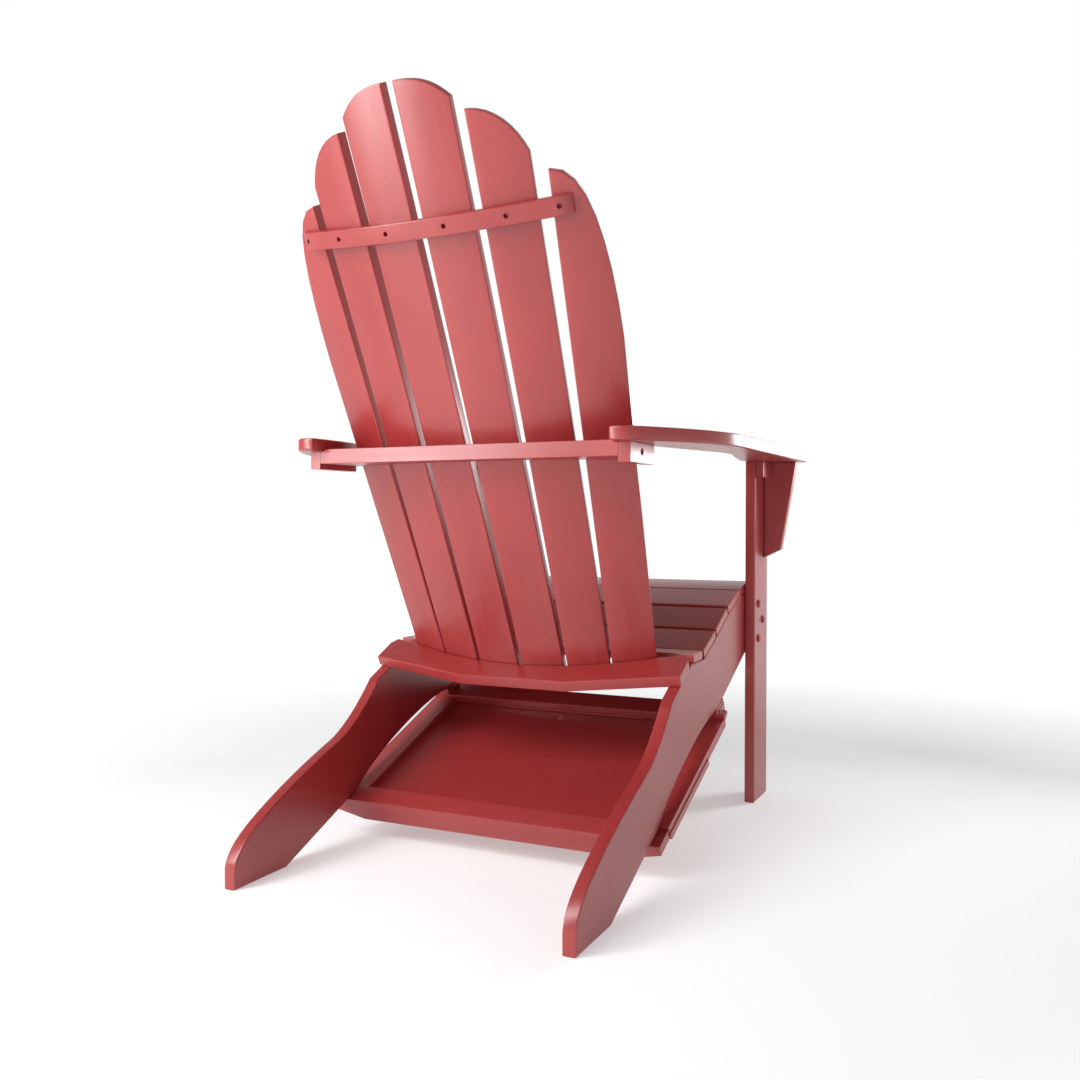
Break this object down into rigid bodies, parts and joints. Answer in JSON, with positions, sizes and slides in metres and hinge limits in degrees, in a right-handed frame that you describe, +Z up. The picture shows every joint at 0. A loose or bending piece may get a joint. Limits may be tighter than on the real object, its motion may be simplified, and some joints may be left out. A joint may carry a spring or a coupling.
{
  "type": "adirondack chair",
  "caption": "Garden armchair with a fanned, hollow slatted back, wide flat arms, sloping slatted seat and a slide-out footrest board under the seat",
  "frame": {"origin": "on the ground, at the middle of the chair's bounding box in plan", "axes": "+Z up, +X to the sitter's left, +Y to the rear; the chair faces -Y"},
  "size_m": [0.688, 0.8054, 1.0207],
  "materials": {
    "red_paint": "satin red paint",
    "fastener_paint": "semi-gloss red paint"
  },
  "bodies": {
    "chair": {"stringer_left": "red_paint", "front_leg_left": "red_paint", "leg_bolt_left_1": "fastener_paint", "leg_bolt_left_2": "fastener_paint", "leg_bolt_left_3": "fastener_paint", "arm_left": "red_paint", "arm_bracket_left": "red_paint", "arm_front_cleat_left": "red_paint", "front_cleat_screw_left": "fastener_paint", "arm_rear_cleat_left": "red_paint", "rear_cleat_screw_left": "fastener_paint", "stringer_right": "red_paint", "front_leg_right": "red_paint", "leg_bolt_right_1": "fastener_paint", "leg_bolt_right_2": "fastener_paint", "leg_bolt_right_3": "fastener_paint", "arm_right": "red_paint", "arm_bracket_right": "red_paint", "arm_front_cleat_right": "red_paint", "front_cleat_screw_right": "fastener_paint", "arm_rear_cleat_right": "red_paint", "rear_cleat_screw_right": "fastener_paint", "back_slat_1": "red_paint", "back_slat_2": "red_paint", "back_slat_3": "red_paint", "back_slat_4": "red_paint", "back_slat_5": "red_paint", "back_slat_6": "red_paint", "lower_crosspiece": "red_paint", "back_batten": "red_paint", "batten_screw_1": "fastener_paint", "batten_screw_2": "fastener_paint", "batten_screw_3": "fastener_paint", "batten_screw_4": "fastener_paint", "batten_screw_5": "fastener_paint", "batten_screw_6": "fastener_paint", "arm_crossbar": "red_paint", "seat_slat_1": "red_paint", "seat_slat_2": "red_paint", "seat_slat_3": "red_paint", "seat_slat_4": "red_paint", "seat_slat_5": "red_paint", "seat_slat_6": "red_paint", "front_apron": "red_paint", "footrest_rear_bar": "red_paint", "footrest_front_bar": "red_paint", "footrest_rail_left": "red_paint", "footrest_keeper_left": "red_paint", "footrest_ledge_left": "red_paint", "footrest_rail_right": "red_paint", "footrest_keeper_right": "red_paint", "footrest_ledge_right": "red_paint", "footrest_bead": "red_paint"},
    "footrest": {"footrest_board": "red_paint"}
  },
  "joints": [
    {"name": "footrest_slide", "type": "slide", "parent": "chair", "child": "footrest", "axis": [0, -0.9361, 0.3518], "range_m": [0, 0.24]}
  ]
}
